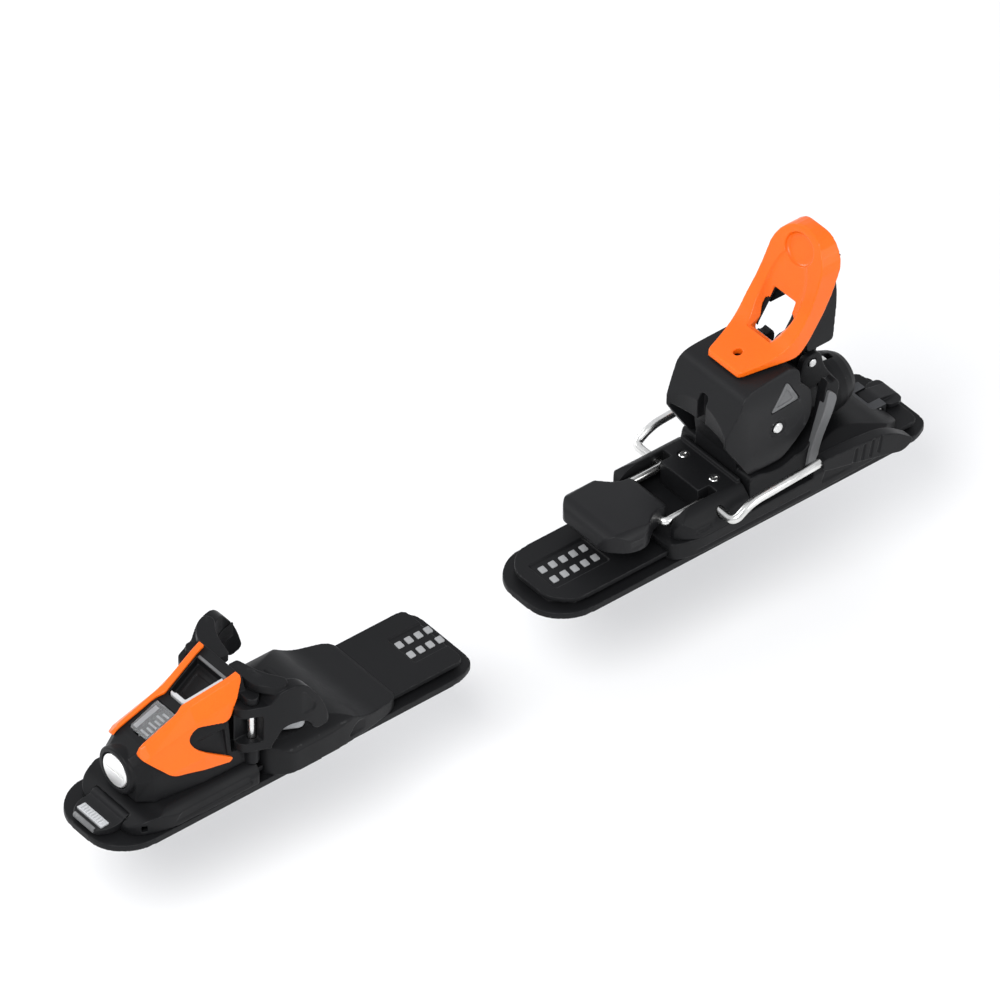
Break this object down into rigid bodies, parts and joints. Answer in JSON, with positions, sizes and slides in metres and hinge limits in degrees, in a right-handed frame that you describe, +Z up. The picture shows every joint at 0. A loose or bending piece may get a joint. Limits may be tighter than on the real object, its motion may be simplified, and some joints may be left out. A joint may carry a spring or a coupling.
{
  "type": "alpine ski binding",
  "caption": "Two-piece alpine ski binding: toe unit with hinged wings and heel unit with a step-in cup, lever and sprung brake, on screwed rails.",
  "frame": {"origin": "middle of the footprint, on the underside of the two rails, where they lie on the ski", "axes": "+Y runs from the toe unit to the heel unit along the ski, towards its tail; +Z up from the ski; +X to the skier's left when facing the tip"},
  "size_m": [0.0912, 0.572, 0.162],
  "materials": {
    "black": "satin moulded, fine grain",
    "grey": "satin moulded",
    "light": "satin moulded",
    "orange": "semi-gloss moulded",
    "white": "satin moulded",
    "clear": "clear polished",
    "steel": "zinc plated",
    "spring": "drawn wire"
  },
  "bodies": {
    "rails": {"toe_rail": "black", "heel_rail": "black", "toe_rail_screw_1": "steel", "toe_rail_screw_2": "steel", "toe_rail_screw_3": "steel", "toe_rail_screw_4": "steel", "heel_rail_screw_1": "steel", "heel_rail_screw_2": "steel", "heel_rail_screw_3": "steel", "heel_rail_screw_4": "steel"},
    "toe_carriage": {"toe_carriage": "black", "toe_latch_pin": "steel", "toe_housing": "black", "toe_side_panel_left": "orange", "toe_side_panel_right": "orange", "toe_top_trim": "light", "toe_scale_window": "clear", "toe_spring": "spring", "wing_pin_left": "steel", "wing_pin_right": "steel", "sole_platform": "black"},
    "toe_latch": {"toe_latch": "grey", "toe_latch_grip": "light"},
    "wing_left": {"toe_wing_left": "black", "wing_pad_left": "grey"},
    "wing_right": {"toe_wing_right": "black", "wing_pad_right": "grey"},
    "toe_piston": {"toe_piston": "steel"},
    "toe_screw": {"toe_release_screw": "steel"},
    "toe_indicator": {"toe_indicator": "white"},
    "glide_plate": {"glide_plate": "light"},
    "heel_adjuster": {"heel_lock_block": "steel", "heel_latch_pin": "steel", "forward_pressure_spring": "spring"},
    "heel_latch": {"heel_latch": "grey"},
    "heel_carriage": {"heel_base": "black", "brake_housing": "black", "brake_housing_screw_left": "steel", "brake_housing_screw_right": "steel", "heel_housing": "black", "heel_cup_pin": "steel", "lever_pin": "steel", "heel_spring": "spring"},
    "brake_arms": {"brake_wire_left": "steel", "brake_wire_right": "steel", "brake_tip_left": "black", "brake_tip_right": "black"},
    "brake_pedal": {"brake_pedal": "grey"},
    "heel_cup": {"heel_cup": "grey"},
    "heel_lever": {"heel_lever": "orange", "lever_stem": "black"},
    "heel_piston": {"heel_piston": "steel"},
    "heel_screw": {"heel_release_screw": "steel"},
    "heel_indicator": {"heel_indicator": "white"}
  },
  "joints": [
    {"name": "toe_adjust", "type": "slide", "parent": "rails", "child": "toe_carriage", "axis": [0, 1, 0], "range_m": [-0.012, 0]},
    {"name": "toe_latch_lift", "type": "hinge", "parent": "toe_carriage", "child": "toe_latch", "pos_m": [0, -0.265, 0.0086], "axis": [-1, 0, 0], "range_deg": [0, 35]},
    {"name": "wing_left_open", "type": "hinge", "parent": "toe_carriage", "child": "wing_left", "pos_m": [0.025, -0.19, 0.043], "axis": [0, 0, -1], "range_deg": [0, 20], "stiffness_Nm_per_rad": 4},
    {"name": "wing_right_open", "type": "hinge", "parent": "toe_carriage", "child": "wing_right", "pos_m": [-0.025, -0.19, 0.043], "axis": [0, 0, 1], "range_deg": [0, 20], "stiffness_Nm_per_rad": 4},
    {"name": "toe_piston_slide", "type": "slide", "parent": "toe_carriage", "child": "toe_piston", "axis": [0, -1, 0], "range_m": [0, 0.004], "deforming": ["toe_spring"]},
    {"name": "toe_release_screw_turn", "type": "hinge", "parent": "toe_carriage", "child": "toe_screw", "pos_m": [0, -0.26, 0.032], "axis": [0, 1, 0], "range_deg": [-360, 720]},
    {"name": "toe_indicator_slide", "type": "slide", "parent": "toe_carriage", "child": "toe_indicator", "axis": [0, 1, 0], "range_m": [-0.00125, 0.0025]},
    {"name": "glide_plate_shift", "type": "slide", "parent": "toe_carriage", "child": "glide_plate", "axis": [1, 0, 0], "range_m": [-0.004, 0.004]},
    {"name": "heel_adjust", "type": "slide", "parent": "rails", "child": "heel_adjuster", "axis": [0, 1, 0], "range_m": [-0.01, 0.01]},
    {"name": "heel_latch_lift", "type": "hinge", "parent": "heel_adjuster", "child": "heel_latch", "pos_m": [0, 0.263, 0.0144], "axis": [1, 0, 0], "range_deg": [0, 30]},
    {"name": "forward_pressure", "type": "slide", "parent": "heel_adjuster", "child": "heel_carriage", "axis": [0, 1, 0], "range_m": [0, 0.006], "stiffness_N_per_m": 8000, "deforming": ["forward_pressure_spring"]},
    {"name": "brake_swing", "type": "hinge", "parent": "heel_carriage", "child": "brake_arms", "pos_m": [0, 0.131, 0.024], "axis": [-1, 0, 0], "range_deg": [0, 60]},
    {"name": "brake_pedal_tilt", "type": "hinge", "parent": "brake_arms", "child": "brake_pedal", "pos_m": [0, 0.101, 0.024], "axis": [1, 0, 0], "range_deg": [0, 30]},
    {"name": "lever_open", "type": "hinge", "parent": "heel_carriage", "child": "heel_lever", "pos_m": [0, 0.21, 0.077], "axis": [-1, 0, 0], "range_deg": [0, 40]},
    {"name": "cup_release", "type": "hinge", "parent": "heel_carriage", "child": "heel_cup", "pos_m": [0, 0.1733, 0.0595], "axis": [-1, 0, 0], "range_deg": [0, 24]},
    {"name": "heel_piston_slide", "type": "slide", "parent": "heel_carriage", "child": "heel_piston", "axis": [0, 1, 0], "range_m": [0, 0.0025], "deforming": ["heel_spring"]},
    {"name": "heel_release_screw_turn", "type": "hinge", "parent": "heel_carriage", "child": "heel_screw", "pos_m": [0, 0.24, 0.045], "axis": [0, -1, 0], "range_deg": [-360, 720]},
    {"name": "heel_indicator_slide", "type": "slide", "parent": "heel_carriage", "child": "heel_indicator", "axis": [0, -1, 0], "range_m": [-0.00125, 0.0025]}
  ],
  "couplings": [
    {"joint": "toe_piston_slide", "follows": "wing_left_open", "m_per_rad": 0.01117},
    {"joint": "toe_indicator_slide", "follows": "toe_release_screw_turn", "m_per_rad": 0.00019894},
    {"joint": "heel_indicator_slide", "follows": "heel_release_screw_turn", "m_per_rad": 0.00019894},
    {"joint": "brake_pedal_tilt", "follows": "brake_swing", "ratio": 0.5},
    {"joint": "cup_release", "follows": "lever_open", "ratio": 0.6},
    {"joint": "heel_piston_slide", "follows": "lever_open", "m_per_rad": 0.00344}
  ]
}
